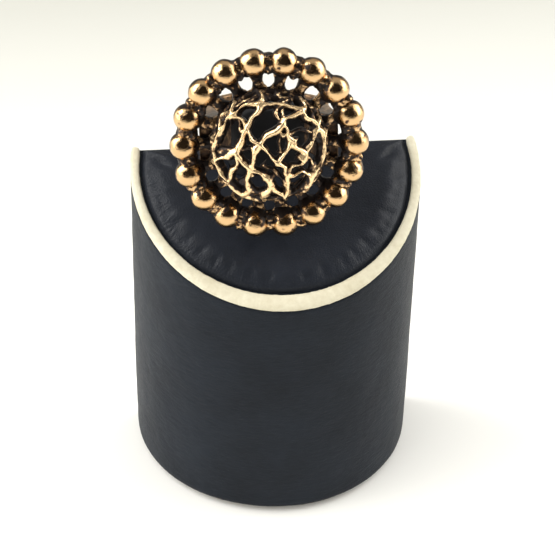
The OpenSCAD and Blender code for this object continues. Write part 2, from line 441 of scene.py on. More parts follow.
def leatherette(name, dark, light, creases=(1, 1, 1), rough=0.5, depth=0.00005, crease_depth=0.00008,
                gloss=0.2, crease_size=0.0016):
    """Fine-grained coated cloth: small pebbles crossed by soft creases."""
    n = Nodes(name)
    pebbles = n.pebbles(0.00042)
    pores = n.noise(0.00018, 2.0)
    folds = n.noise(crease_size, 4.0, 0.62, n.stretched(creases))
    patches = n.noise(0.011, 3.0)
    tone = n.math("ADD", n.math("MULTIPLY", patches, 0.6), n.math("MULTIPLY", folds, 0.4))
    n.set(Base_Color=n.ramp(tone, (0.32, dark), (0.68, light)))
    n.set(Roughness=n.span(n.math("ADD", folds, pores), 0.7, 1.3, rough + 0.06, rough - 0.05))
    first = n.bump(folds, crease_depth, 0.8)
    second = n.bump(n.math("MINIMUM", pebbles, 0.25), depth, 0.6, first)
    n.set(Normal=n.bump(pores, depth * 0.4, 0.5, second))
    n.shader.inputs["Sheen Weight"].default_value = 0.015
    n.shader.inputs["Sheen Roughness"].default_value = 0.35
    n.shader.inputs["Specular IOR Level"].default_value = gloss
    return n.material


def bronze(name, shine=1.0, metal=1.0, smoothest=0.11, bright=(0.68, 0.445, 0.225), specks=0.75):
    """Bronze, bright where the wear is high and covered in dark oxide where it is low. On the balls, the same
    value also carries painted shade, which shows dark.
    """
    n = Nodes(name)
    wear_and_shade = n.add("ShaderNodeAttribute", attribute_name="wear_and_shade").outputs["Fac"]
    blotches = n.noise(0.0007, 5.0, 0.65)
    fine = n.noise(0.00016, 3.0, 0.6)
    ragged = n.math("ADD", wear_and_shade, n.math("MULTIPLY", n.math("SUBTRACT", blotches, 0.5), specks))
    polish_and_shade = n.span(n.math("ADD", ragged, n.math("MULTIPLY", n.math("SUBTRACT", fine, 0.5), 0.2)),
                    0.3, 0.75, 0.0, shine)
    n.set(Base_Color=n.ramp(polish_and_shade, (0.0, (0.018, 0.012, 0.010)), (0.3, (0.09, 0.050, 0.029)),
                            (0.6, (0.36, 0.22, 0.115)), (1.0, bright)))
    n.set(Metallic=n.span(polish_and_shade, 0.0, 0.5, 0.6, metal))
    n.set(Roughness=n.span(polish_and_shade, 0.0, 1.0, 0.40, smoothest))
    n.set(Normal=n.bump(fine, 0.00003, 0.5, n.bump(blotches, 0.00014, 0.5)))
    return n.material


def plain_stuff(name, dark, light, size, rough, depth, stretch=(1, 1, 1)):
    """Board, foam, felt or sheet plastic: mottled colour and a matching rough surface."""
    n = Nodes(name)
    place = n.stretched(stretch)
    coarse = n.noise(size, 5.0, 0.6, place)
    fine = n.noise(size / 6, 3.0, 0.6, place)
    tone = n.math("ADD", n.math("MULTIPLY", coarse, 0.6), n.math("MULTIPLY", fine, 0.4))
    n.set(Base_Color=n.ramp(tone, (0.35, dark), (0.65, light)))
    n.set(Roughness=n.span(fine, 0.3, 0.7, rough, rough + 0.08))
    n.set(Normal=n.bump(fine, depth, 0.8, n.bump(coarse, depth * 2, 0.4)))
    return n.material


def gathered(material):
    """Adds the finest gathers to the pad's leatherette, from the places stored on its mesh."""
    tree = material.node_tree
    shader = tree.nodes["Principled BSDF"]
    place = tree.nodes.new("ShaderNodeAttribute")
    place.attribute_name = "gather_place"
    depth = tree.nodes.new("ShaderNodeAttribute")
    depth.attribute_name = "gather_depth"
    lines = tree.nodes.new("ShaderNodeTexNoise")
    lines.inputs["Scale"].default_value = 2.8
    lines.inputs["Detail"].default_value = 3
    height = tree.nodes.new("ShaderNodeMath")
    height.operation = "MULTIPLY"
    bump = tree.nodes.new("ShaderNodeBump")
    bump.inputs["Distance"].default_value = 0.0002
    bump.inputs["Strength"].default_value = 0.8
    tree.links.new(place.outputs["Vector"], lines.inputs["Vector"])
    tree.links.new(lines.outputs["Fac"], height.inputs[0])
    tree.links.new(depth.outputs["Fac"], height.inputs[1])
    tree.links.new(height.outputs[0], bump.inputs["Height"])
    tree.links.new(shader.inputs["Normal"].links[0].from_socket, bump.inputs["Normal"])
    tree.links.new(bump.outputs["Normal"], shader.inputs["Normal"])
    return material


WRAP = leatherette("wrap_leatherette", (0.009, 0.011, 0.015), (0.014, 0.018, 0.025), (0.7, 0.7, 2.4),
                   depth=0.0001, crease_depth=0.0001, gloss=0.1, crease_size=0.0011)
PAD = gathered(leatherette("pad_leatherette", (0.009, 0.011, 0.016), (0.017, 0.020, 0.028), rough=0.43,
                           depth=0.00012))
TAB_SKIN = leatherette("tab_leatherette", (0.010, 0.010, 0.011), (0.016, 0.016, 0.017), rough=0.62)
CREAM = leatherette("welt_leatherette", (0.54, 0.485, 0.345), (0.72, 0.68, 0.54), rough=0.52,
                    depth=0.00007, crease_depth=0.00012, crease_size=0.0009)
BRONZE = bronze("cast_bronze")
OXIDE = bronze("oxidised_bronze", 0.8, 0.85, 0.2)
WORN = bronze("worn_bronze", 1.0, 0.8, 0.26, (0.98, 0.71, 0.40), 0.35)
BAND = bronze("band_bronze", 0.75, 0.9, 0.4)
BOARD = plain_stuff("fibreboard", (0.26, 0.17, 0.10), (0.42, 0.30, 0.18), 0.002, 0.8, 0.0001, (1, 1, 4))
FOAM = plain_stuff("foam", (0.62, 0.58, 0.42), (0.80, 0.76, 0.60), 0.0012, 0.9, 0.0002)
FELT = plain_stuff("felt", (0.020, 0.020, 0.022), (0.045, 0.045, 0.050), 0.0008, 0.93, 0.0001)
STIFFENER = plain_stuff("sheet_plastic", (0.07, 0.07, 0.075), (0.10, 0.10, 0.105), 0.003, 0.45, 0.00002)


def paint_node(node, material):
    """Gives its procedural material to a CAD node that no piece replaces."""
    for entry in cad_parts[node].material_slots:
        entry.material = material


for hidden_node, stuff in (("felt_foot", FELT), ("base_board", BOARD), ("core_block", BOARD),
                           ("pad_board", BOARD), ("pad_foam", FOAM), ("tab_core", STIFFENER),
                           ("back_panel", WRAP)):
    paint_node(hidden_node, stuff)


# ---------------------------------------------------------------- ring: beads and solder

def bead_angle(i):
    """Clockwise from the top, in radians."""
    return (i + 0.5) * 2 * math.pi / BEAD_COUNT


def outward(angle):
    return Vector((math.sin(angle), math.cos(angle), 0))


def lump(name, radius, seed, roughness):
    """Ball pulled a little out of round, in millimetres round the origin."""
    mesh = bpy.data.meshes.new(name)
    ball = bmesh.new()
    bmesh.ops.create_icosphere(ball, subdivisions=4, radius=radius)
    ball.to_mesh(mesh)
    ball.free()
    piece = placed(name, mesh)
    points = points_of(mesh)
    swell = 1 + roughness * grain(points, radius * 1.1, seed)
    swell += roughness * 0.4 * grain(points, radius * 0.4, seed)
    set_points(mesh, points * swell[:, None])
    return piece


def make_bead(i):
    """One ball, flattened a touch where the solder draws it down to the frame."""
    angle = bead_angle(i)
    out = np.array(outward(angle))
    piece = lump(f"ball_{i + 1}", BEAD_R, i + 1, BEAD_ROUGHNESS)
    points = points_of(piece.data)
    away = points / np.linalg.norm(points, axis=1)[:, None]
    inner = away @ (-out * 0.75 + np.array([0, 0, -0.66]))
    pull = smooth_step(0.35, 1.0, inner)
    points += (-out * 0.5 + np.array([0, 0, -0.25])) * pull[:, None]
    set_points(piece.data, points)
    # Wear and painted shade: the outer top of each ball is rubbed bright and oxide stays in its inner hollow.
    # The lower half is also darkened as painted shade, which draws a dark outline round each ball.
    light = 0.30 * (away @ out) + 0.72 * away[:, 2]
    upper = smooth_step(0.1, 0.42, away[:, 2])
    worn = 0.16 + 0.84 * smooth_step(0.0, 0.6, light + 0.7 * grain(points, 1.0, i + 40.0, 3))
    set_wear_and_shade(piece, worn * (0.5 + 0.5 * upper))
    set_points(piece.data, points + out * BEAD_CIRCLE_R + np.array([0, 0, BEAD_Z]))
    hand_over(piece, HEAD, "ring", "bronze", BRONZE, f"bead_{i + 1}")


for bead in range(BEAD_COUNT):
    make_bead(bead)


def joined(name, pieces):
    """One object from several, in the same coordinates."""
    whole = bmesh.new()
    for part in pieces:
        whole.from_mesh(part.data)
    mesh = bpy.data.meshes.new(name)
    whole.to_mesh(mesh)
    whole.free()
    for part in pieces:
        bpy.data.objects.remove(part)
    return placed(name, mesh)


def lathe(name, profile, steps):
    """Closed ring of the profile's (radius, height) points."""
    vertices, faces = [], []
    count = len(profile)
    for step in range(steps):
        spot = outward(2 * math.pi * step / steps)
        vertices += [(spot.x * radius, spot.y * radius, height) for radius, height in profile]
        for k in range(count):
            a, b = step * count + k, step * count + (k + 1) % count
            c, d = ((step + 1) % steps) * count + (k + 1) % count, ((step + 1) % steps) * count + k
            faces.append((a, b, c, d))
    return object_from(name, vertices, faces)


SOLDER_R, SOLDER_SUNK, SOLDER_VOXEL = 1.55, 0.35, 0.12
# Grains in each gap, as (radius, distance outside the beads' circle, height above it).
SOLDER_GRAINS = ((0.85, 0.35, 0.25), (0.7, -1.2, 0.7))


def make_solder():
    """Solder that fills the gaps between the balls, with small uneven grains on it."""
    around = [2 * math.pi * k / 12 for k in range(12)]
    middle_r, middle_z = BEAD_CIRCLE_R - SOLDER_SUNK, BEAD_Z - SOLDER_SUNK
    blobs = [lathe("seam", [(middle_r + SOLDER_R * math.cos(a), middle_z + SOLDER_R * math.sin(a))
                            for a in around], 180)]
    for gap in range(BEAD_COUNT):
        angle = gap * 2 * math.pi / BEAD_COUNT
        for k, (radius, out, up) in enumerate(SOLDER_GRAINS):
            size = radius * random.uniform(0.8, 1.2)
            grain_angle = angle + random.uniform(-0.03, 0.03)
            place = outward(grain_angle) * (BEAD_CIRCLE_R + out + random.uniform(-0.25, 0.25))
            blob = lump(f"grain_{gap}_{k}", size, gap * 2 + k + 100.0, 0.22)
            set_points(blob.data, points_of(blob.data) + np.array(place) + np.array([0, 0, BEAD_Z + up]))
            blobs.append(blob)
    piece = joined("solder_grains", blobs)
    remesh(piece, SOLDER_VOXEL, 6)
    points = push_out(piece, lambda at: 0.16 * grain(at, 0.9, 111.0, 3))
    reach = np.linalg.norm(points[:, :2], axis=1) - BEAD_CIRCLE_R
    set_wear_and_shade(piece, 0.12 + 0.4 * smooth_step(1.5, 2.4, points[:, 2]) * smooth_step(-2.2, 0.6, reach)
             + 0.75 * grain(points, 0.55, 3.0, 3))
    hand_over(piece, HEAD, "ring", "bronze", BRONZE)


make_solder()


# ---------------------------------------------------------------- ring: petal frame and collar

FRAME_IN, FRAME_OUT = 7.4, BEAD_CIRCLE_R + 0.6
HOLE_R, HOLE_HALF_LENGTH, HOLE_HALF_WIDTH = 9.75, 1.3, 0.92
FRAME_RAYS, FRAME_RINGS, FRAME_VOXEL = 40, 5, 0.13


def frame_ray(angle_in_hole, hole_length, hole_width):
    """From the edge of an oval hole to the edge of its share of the frame, as (radius, turn) pairs."""
    step = math.pi / BEAD_COUNT
    direction = (math.cos(angle_in_hole), math.sin(angle_in_hole))
    start = Vector((HOLE_R + hole_length * direction[0], hole_width * direction[1] / HOLE_R))
    reach = math.inf
    if direction[0] > 1e-6:
        reach = min(reach, (FRAME_OUT - HOLE_R) / direction[0])
    if direction[0] < -1e-6:
        reach = min(reach, (FRAME_IN - HOLE_R) / direction[0])
    if abs(direction[1]) > 1e-6:
        reach = min(reach, step * HOLE_R / abs(direction[1]))
    end = Vector((HOLE_R + reach * direction[0], reach * direction[1] / HOLE_R))
    return start, end


def make_petal_frame():
    """Pierced dish with a leaf between each two of its oval holes."""
    rays, rings = FRAME_RAYS, FRAME_RINGS
    vertices, faces = [], []
    step = 2 * math.pi / BEAD_COUNT
    for cell in range(BEAD_COUNT):
        middle = cell * step
        length = HOLE_HALF_LENGTH * random.uniform(0.9, 1.1)
        width = HOLE_HALF_WIDTH * random.uniform(0.88, 1.08)
        first = len(vertices)
        for side in (1, -1):
            for ray in range(rays):
                start, end = frame_ray(2 * math.pi * ray / rays, length, width)
                for ring in range(rings + 1):
                    radius, turn = start.lerp(end, (ring / rings) ** 0.8)
                    leaf = math.cos((abs(turn) / (step / 2) - 1) * math.pi / 2) ** 2
                    rim = max(0.0, min(1.0, (radius - 10.9) / 1.3))
                    foot = max(0.0, min(1.0, (8.6 - radius) / 0.9))
                    top = 0.95 + 0.45 * leaf + 1.15 * rim + 0.05 * foot
                    bottom = 0.35 - 0.2 * rim - 0.2 * foot
                    spot = outward(middle + turn) * radius
                    vertices.append((spot.x, spot.y, top if side == 1 else bottom))
        per_side = rays * (rings + 1)
        for ray in range(rays):
            following = (ray + 1) % rays
            for ring in range(rings):
                a = first + ray * (rings + 1) + ring
                b = first + following * (rings + 1) + ring
                faces.append((a, a + 1, b + 1, b))
                faces.append((a + per_side, b + per_side, b + 1 + per_side, a + 1 + per_side))
            a = first + ray * (rings + 1)
            b = first + following * (rings + 1)
            faces.append((a, b, b + per_side, a + per_side))
    piece = object_from("petal_dish", vertices, faces)
    shape = bmesh.new()
    shape.from_mesh(piece.data)
    bmesh.ops.remove_doubles(shape, verts=shape.verts, dist=0.002)
    close_rim(shape)
    bmesh.ops.recalc_face_normals(shape, faces=shape.faces)
    shape.to_mesh(piece.data)
    shape.free()
    remesh(piece, FRAME_VOXEL, 3)
    points = points_of(piece.data)
    rough = grain(points, 1.0, 5.0, 3)
    points += normals_of(piece.data) * (0.17 * rough)[:, None]
    set_points(piece.data, points)
    radius = np.linalg.norm(points[:, :2], axis=1)
    ridge = smooth_step(1.5, 2.2, points[:, 2]) * smooth_step(10.6, 12.2, radius)
    crest = smooth_step(0.9, 1.6, points[:, 2]) * (1 - smooth_step(9.6, 11.4, radius))
    set_wear_and_shade(piece, 0.2 + 0.25 * ridge + 0.2 * crest + 1.1 * rough + 0.5 * grain(points, 0.4, 8.0, 2))
    hand_over(piece, HEAD, "ring", "dark_bronze", OXIDE, "petal_frame")


def close_rim(shape):
    """Walls between the top and bottom sheets along their open edges."""
    spots = {}
    for vertex in shape.verts:
        spots.setdefault((round(vertex.co.x, 3), round(vertex.co.y, 3)), []).append(vertex)
    for edge in [e for e in shape.edges if e.is_boundary]:
        a, b = edge.verts
        if a.co.z < 0.5:
            continue
        under = [min(spots[(round(v.co.x, 3), round(v.co.y, 3))], key=lambda w: w.co.z) for v in (a, b)]
        if under[0] is not a and under[1] is not b:
            shape.faces.new((a, b, under[1], under[0]))


make_petal_frame()


COLLAR_IN, COLLAR_OUT, COLLAR_LOW, COLLAR_HIGH = 7.5, 8.3, 1.05, 2.0


def make_collar():
    """Rough dark collar with a rolled upper edge."""
    profile = [(COLLAR_IN, COLLAR_LOW), (COLLAR_OUT, COLLAR_LOW), (COLLAR_OUT + 0.12, 1.35),
               (COLLAR_OUT - 0.05, 1.6), (COLLAR_OUT + 0.15, COLLAR_HIGH - 0.1),
               (COLLAR_OUT - 0.1, COLLAR_HIGH + 0.05), (COLLAR_IN, COLLAR_HIGH)]
    piece = lathe("collar", profile, 240)
    subdivide(piece, 2)
    points = push_out(piece, lambda at: 0.09 * grain(at, 0.8, 12.0, 3))
    set_wear_and_shade(piece, 0.05 + 0.25 * smooth_step(1.85, 2.05, points[:, 2]) + 0.3 * grain(points, 0.8, 13.0, 2))
    hand_over(piece, HEAD, "ring", "dark_bronze", OXIDE, "dome_collar")


make_collar()


# ---------------------------------------------------------------- ring: openwork dome

DOME_R, DOME_MID_Z, DOME_H, STRAND_R = 8.7, 2.4, 7.2, 0.5
DOME_RISE = DOME_H - STRAND_R - DOME_MID_Z
FOOT_DOWN = 95
LACE_VOXEL = 0.105
PATH_STEPS = 9
STRAND_SIDES = 10
STRAND_HALF_WIDTHS, STRAND_HALF_DEPTH = (0.50, 0.70, 0.42, 0.60), 0.85
LOW_HALF_WIDTH, LOW_HALF_DEPTH, LOW_SUNK = 0.36, 0.5, 0.7

# Junctions of the lace, as (x, y) seen from above the dome. Those further out stand on the collar.
LACE_POINTS = [
    (0.9, 9), (4.5, 7.8), (7.1, 5.5), (8.7, 2.5), (8.9, -1.1), (7.8, -4.5), (5.4, -7.2), (2.3, -8.7),
    (-1.3, -8.9), (-4.8, -7.6), (-7.5, -5), (-8.8, -1.9), (-8.8, 1.7), (-7.5, 5), (-5.2, 7.4), (-2.2, 8.7),
    (-5.5, 5.5), (-1.3, 7.2), (1.9, 4.6), (4.8, 6),
    (-7.6, 2.2), (-3.4, 3.9), (-1.5, 1.6), (3.4, 1.9), (6.9, 3.2),
    (-8, -1.6), (-5, 0.1), (-2.9, -2.3), (1, -1.4), (4.7, -1), (7.9, 0.2),
    (-6.2, -4.8), (-3.4, -4.8), (-0.3, -4), (2.5, -3.2), (6.4, -3.8),
    (-3.9, -7.3), (-0.9, -6.8), (2, -7.3), (5, -6.6)]

# Low dark strands under the lace, as (degrees down, degrees clockwise) runs.
LOW_STRANDS = [
    ((92, 20), (60, 12), (30, 20), (10, 80)), ((92, 75), (62, 80), (50, 62), (24, 30)),
    ((92, 125), (56, 112), (30, 96)), ((92, 165), (60, 158), (28, 160), (12, 220)),
    ((92, 205), (58, 200), (52, 222), (30, 218)), ((92, 262), (60, 268), (36, 280), (14, 300)),
    ((92, 310), (64, 318), (40, 310)), ((88, 40), (76, 52), (80, 70), (88, 84)),
    ((88, 140), (74, 132), (78, 112), (90, 98)), ((90, 186), (76, 178), (74, 160), (88, 148)),
    ((90, 234), (78, 240), (74, 226), (90, 212)), ((90, 290), (78, 300), (72, 286), (90, 276)),
    ((90, 350), (76, 356), (72, 340), (90, 328)), ((80, 96), (84, 130), (78, 160), (84, 196), (80, 232)),
    ((82, 240), (86, 276), (80, 310), (84, 350), (80, 385))]

# Strands of the lace, each a run of junctions.
LACE_STRANDS = [
    (14, 16, 20, 25, 31, 10), (15, 17, 21, 26, 27, 33, 37, 8), (16, 21, 22, 28, 34, 35),
    (0, 18, 22, 27, 32, 36, 9), (1, 19, 18, 23, 29, 34, 38, 7), (19, 24, 30, 35, 39, 6), (16, 17, 19),
    (2, 24, 29), (26, 31, 36), (25, 26), (23, 28), (33, 38), (3, 30, 4), (5, 35), (5, 39), (13, 20, 12),
    (12, 25, 11), (13, 16), (36, 8)]


def dome_point(down, around, sunk=0.0):
    """Place on the middle surface of the dome, sunk towards its middle."""
    down, around = math.radians(down), math.radians(around)
    keep = 1 - sunk / DOME_R
    return Vector((DOME_R * keep * math.sin(down) * math.sin(around),
                   DOME_R * keep * math.sin(down) * math.cos(around),
                   DOME_MID_Z + DOME_RISE * keep * math.cos(down)))


def junction(x, y):
    """Place on the dome of a junction, or at its foot for one further out than the dome."""
    out = math.hypot(x, y) / DOME_R
    return dome_point(math.degrees(math.asin(out)) if out < 1 else FOOT_DOWN, math.degrees(math.atan2(x, y)))


def dome_normal(point):
    return Vector((point.x / DOME_R ** 2, point.y / DOME_R ** 2,
                   (point.z - DOME_MID_Z) / DOME_RISE ** 2)).normalized()


def curve_through(stops):
    """Smooth path through the stops, and how near each of its points is to one of them."""
    path, near = [], []
    for k in range(len(stops) - 1):
        a, b = stops[max(k - 1, 0)], stops[k]
        c, d = stops[k + 1], stops[min(k + 2, len(stops) - 1)]
        for m in range(PATH_STEPS):
            u = m / PATH_STEPS
            path.append(0.5 * (2 * b + (c - a) * u + (2 * a - 5 * b + 4 * c - d) * u * u
                               + (3 * b - a - 3 * c + d) * u * u * u))
            near.append(abs(2 * u - 1))
    return path + [stops[-1]], near + [1.0]


def fin(name, path, near, half_width, half_depth, seed):
    """Upright strand along a path on the dome, of uneven width, with closed ends."""
    vertices, spine = [], []
    count = len(path)
    for k, centre in enumerate(path):
        ahead = (path[min(k + 1, count - 1)] - path[max(k - 1, 0)]).normalized()
        up = dome_normal(centre)
        across = ahead.cross(up).normalized()
        wave = noise.noise(centre / 1.7 + Vector((seed, 0, 0)))
        sway = noise.noise(centre / 2.1 + Vector((0, seed, 5)))
        middle = centre + across * 1.1 * (1 - near[k] ** 2) * sway
        middle -= up * (half_depth - STRAND_R + 0.10 * (1 + noise.noise(centre / 2.3 + Vector((3, seed, 0)))))
        swell = max(0.0, 0.35 + noise.noise(centre / 2.6 + Vector((9, 0, 4))))
        width = half_width * (0.85 + 0.7 * wave) + 1.0 * swell * near[k] ** 3
        spine.append((middle, up, half_depth))
        for side in range(STRAND_SIDES):
            turn = 2 * math.pi * side / STRAND_SIDES
            taper = 1 - 0.36 * math.sin(turn)
            vertices.append(middle + across * width * taper * math.cos(turn)
                            + up * half_depth * math.sin(turn))
    return object_from(name, vertices, tube_faces(count, STRAND_SIDES)), spine


def make_lace():
    """Cast lace: uneven upright strands fused into one skin, bright only along their ridges."""
    strands, spine = [], []
    for index, run in enumerate(LACE_STRANDS):
        stops = [junction(*LACE_POINTS[j]) for j in run]
        path, near = curve_through(stops)
        half_width = STRAND_HALF_WIDTHS[index % len(STRAND_HALF_WIDTHS)]
        strand, line = fin(f"strand_{index}", path, near, half_width, STRAND_HALF_DEPTH, index * 3.7)
        strands.append(strand)
        spine += line
    for index, run in enumerate(LOW_STRANDS):
        path, near = curve_through([dome_point(down, around, LOW_SUNK) for down, around in run])
        strand, line = fin(f"low_strand_{index}", path, near, LOW_HALF_WIDTH, LOW_HALF_DEPTH,
                           200 + index * 2.9)
        strands.append(strand)
        spine += [(middle, up, 1.6 * depth) for middle, up, depth in line]
    foot_z = COLLAR_HIGH + 0.25
    strands.append(lathe("foot", [(7.55, COLLAR_HIGH), (8.5, COLLAR_HIGH), (8.75, foot_z),
                                  (8.45, foot_z + 0.35), (7.6, foot_z + 0.3)], 160))
    piece = joined("lace", strands)
    remesh(piece, LACE_VOXEL, 3)
    points = points_of(piece.data)
    points += normals_of(piece.data) * (0.05 * grain(points, 0.8, 21.0, 2))[:, None]
    points[:, 2] = np.maximum(points[:, 2], COLLAR_HIGH - 0.03)
    set_points(piece.data, points)
    tree = kdtree.KDTree(len(spine))
    for k, entry in enumerate(spine):
        tree.insert(entry[0], k)
    tree.balance()
    height = np.zeros(len(points))
    for k, point in enumerate(points):
        middle, up, depth = spine[tree.find(Vector(point))[1]]
        height[k] = (Vector(point) - middle).dot(up) / depth
    low_band = smooth_step(2.4, 3.2, points[:, 2])
    bright = 0.9 + 0.7 * grain(points, 2.2, 27.0, 2)
    polished = smooth_step(0.36, 0.86, height + 0.2 * grain(points, 1.3, 23.0, 2))
    polished *= np.clip(bright, 0.35, 1.0)
    set_wear_and_shade(piece, polished * (0.25 + 0.75 * low_band) + 0.16 + 0.45 * grain(points, 0.5, 25.0, 3))
    hand_over(piece, HEAD, "ring", "bronze", WORN, "lace_dome")


make_lace()


# ---------------------------------------------------------------- ring: band

BAND_VOXEL = 0.16
# Radii between the inside face of the band and its outside face.
BAND_INSIDE = (8.6, 8.8)


def make_band():
    """The band and its shoulders with soft edges, duller inside and where it meets the head."""
    piece = copy_of_node("shank", "band")
    remesh(piece, BAND_VOXEL * MM, 5)
    points = moved(points_of(piece.data), RING.inverted())
    normals = moved(normals_of(piece.data), TO_RING.inverted())
    points += normals * (0.035 * grain(points, 1.6, 31.0, 2))[:, None]
    set_points(piece.data, points)
    radius = np.linalg.norm(points[:, :2], axis=1)
    inside = 1 - smooth_step(*BAND_INSIDE, radius)
    near_head = 1 - smooth_step(-8.5, -3.0, points[:, 1])
    set_wear_and_shade(piece, 0.66 - 0.12 * inside - 0.2 * near_head + 0.2 * grain(points, 1.2, 33.0, 2))
    hand_over(piece, RING, "ring", "bronze", BAND, "shank")


make_band()


# ---------------------------------------------------------------- stand: pad

PAD_SHRINK, PAD_POINTS, PAD_VOXEL = 0.3, 48, 0.45
PAD_MIDDLE = Vector((0, -7))
# Rings of the pad from its edge to its crown, as (share of the way out, height above the plane).
PAD_LEVELS = ((1.0, -WELT_DROP), (1.0, 0.0), (0.995, 0.35), (0.97, 0.75), (0.92, 1.0), (0.8, 1.2),
              (0.55, 1.3), (0.25, 1.35))
CLOTH_SCALE, CLOTH_CAP, CLOTH_FRAMES = 0.02, 0.35, 20


def pad_outline(shrink, back, count):
    """Half oval seen from above, closed by its straight back, as (x, y) points."""
    half_width, front = PAD_HALF_W - shrink, PAD_FRONT - shrink
    side = math.asin(back / front)
    curve = [math.pi - side + k * (math.pi + 2 * side) / count for k in range(count + 1)]
    points = [(half_width * math.cos(a), front * math.sin(a)) for a in curve]
    first, last = points[-1], points[0]
    across = [(first[0] + (last[0] - first[0]) * k / (count // 2), back) for k in range(1, count // 2)]
    return points + across


def make_pad():
    """Soft pad, swollen by a cloth simulation and then puckered along its curved edge."""
    edge = pad_outline(PAD_SHRINK, BACK_Y - PAD_SHRINK, PAD_POINTS)
    stretch = 1 / math.cos(TOP_SLOPE)
    vertices = []
    for share, height in PAD_LEVELS:
        for x, y in edge:
            spot = PAD_MIDDLE.lerp(Vector((x, y)), share)
            vertices.append((spot.x, spot.y * stretch, height))
    piece = object_from("pad", vertices, tube_faces(len(PAD_LEVELS), len(edge)))
    remesh(piece, PAD_VOXEL)
    inflate(piece)
    subdivide(piece, 1)
    pucker(piece)
    cut_slot(piece)
    hand_over(piece, TOP, "stand", "dark_leatherette", PAD, "pad_cover")


def inflate(piece):
    """Cloth under pressure, its underside held. It runs at twenty times the pad's size."""
    start = points_of(piece.data)
    set_points(piece.data, start * CLOTH_SCALE)
    held = piece.vertex_groups.new(name="held")
    held.add([k for k, point in enumerate(start) if point[2] < 0.1 - WELT_DROP], 1.0, "REPLACE")
    cloth = piece.modifiers.new("cloth", "CLOTH")
    cloth.settings.vertex_group_mass = "held"
    cloth.settings.use_pressure = True
    cloth.settings.uniform_pressure_force = 4
    cloth.settings.effector_weights.gravity = 0
    cloth.settings.quality = 5
    cloth.settings.tension_stiffness = 15
    cloth.settings.compression_stiffness = 15
    cloth.settings.bending_stiffness = 0.5
    cloth.collision_settings.use_collision = False
    scene = bpy.context.scene
    for number in range(1, CLOTH_FRAMES + 1):
        scene.frame_set(number)
    apply_modifiers(piece)
    scene.frame_set(1)
    move = points_of(piece.data) / CLOTH_SCALE - start
    length = np.linalg.norm(move, axis=1)
    move *= np.minimum(1, CLOTH_CAP / np.maximum(length, 1e-9))[:, None]
    set_points(piece.data, start + move)
    piece.vertex_groups.clear()


def pucker(piece):
    """Short gathers square to the curved edge, deepest at the left, and an uneven crown."""
    points = points_of(piece.data)
    x, y = points[:, 0] / PAD_HALF_W, points[:, 1] * math.cos(TOP_SLOPE) / PAD_FRONT
    inset = (1 - np.hypot(x, y)) * PAD_FRONT
    turn = np.arctan2(x, -y)
    along = np.stack([turn * 19, inset / 3.2, points[:, 2] * 0], 1)
    side = 0.45 + 0.55 * smooth_step(0.1, 1.3, -turn) - 0.2 * smooth_step(0.4, 1.3, turn)
    band = smooth_step(0.0, 0.9, inset) * (1 - smooth_step(1.2, 3.6, inset))
    band = band * smooth_step(-0.1, 0.5, points[:, 2])
    gathers = grain(along, 0.5, 41.0, 2) * 0.03
    crown = grain(points, 6.0, 45.0, 2) * 0.12
    up = smooth_step(-0.3, 0.4, points[:, 2])
    points += normals_of(piece.data) * ((gathers * band * side + crown * up)[:, None])
    set_points(piece.data, points)
    place = piece.data.attributes.new("gather_place", "FLOAT_VECTOR", "POINT")
    place.data.foreach_set("vector", along.astype(np.float32).ravel())
    depth = piece.data.attributes.new("gather_depth", "FLOAT", "POINT")
    depth.data.foreach_set("value", (band * side).astype(np.float32))


# ---------------------------------------------------------------- stand: tab

tab_low, tab_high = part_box("tab_cover")
TAB_W = (tab_high.x - tab_low.x) / MM
TAB_T, TAB_REACH, TAB_BACK, TAB_CORNER = 4.5, 1.6, 0.7, 2.5
SIDE_STEPS, TIP_STEPS, TAB_AROUND = 12, 10, 40
SLOT_GAP, SLOT_BOTTOM = 0.12, -18
TAB_BOTTOM, TAB_VOXEL = -20, 0.24
RING_MID = RING @ Vector((0, 0, 0))
TAB_MID = Vector(((tab_low.x + tab_high.x) / 2, RING_MID.y, RING_MID.z))
TAB = Matrix.Translation(TAB_MID) @ Matrix.Rotation(-RING_LEAN, 4, "X") @ SCALE


def tongue(name, grow, bottom):
    """Flat tongue with round edges and a rounded tip, in the tab's own coordinates."""
    half_width, half_depth = TAB_W / 2 + grow, TAB_T / 2 + grow
    corner, top = TAB_CORNER + grow, TAB_REACH + grow
    rows = [(bottom + (top - corner - bottom) * k / SIDE_STEPS, half_width) for k in range(SIDE_STEPS)]
    for k in range(TIP_STEPS + 1):
        a = math.pi / 2 * k / TIP_STEPS
        rows.append((top - corner + corner * math.sin(a), half_width - corner + corner * math.cos(a)))
    vertices = []
    for z, reach in rows:
        for k in range(TAB_AROUND):
            a = 2 * math.pi * k / TAB_AROUND
            straight = math.copysign(reach - half_depth, math.cos(a))
            vertices.append((straight + half_depth * math.cos(a), TAB_BACK + half_depth * math.sin(a), z))
    return object_from(name, vertices, tube_faces(len(rows), TAB_AROUND))


def cut_slot(pad):
    """The slit in the pad that the tab comes up through."""
    cutter = tongue("slit", SLOT_GAP, SLOT_BOTTOM)
    set_points(cutter.data, moved(points_of(cutter.data), TOP.inverted() @ TAB))
    modifier = pad.modifiers.new("slit", "BOOLEAN")
    modifier.operation = "DIFFERENCE"
    modifier.object = cutter
    modifier.solver = "EXACT"
    apply_modifiers(pad)
    bpy.data.objects.remove(cutter)


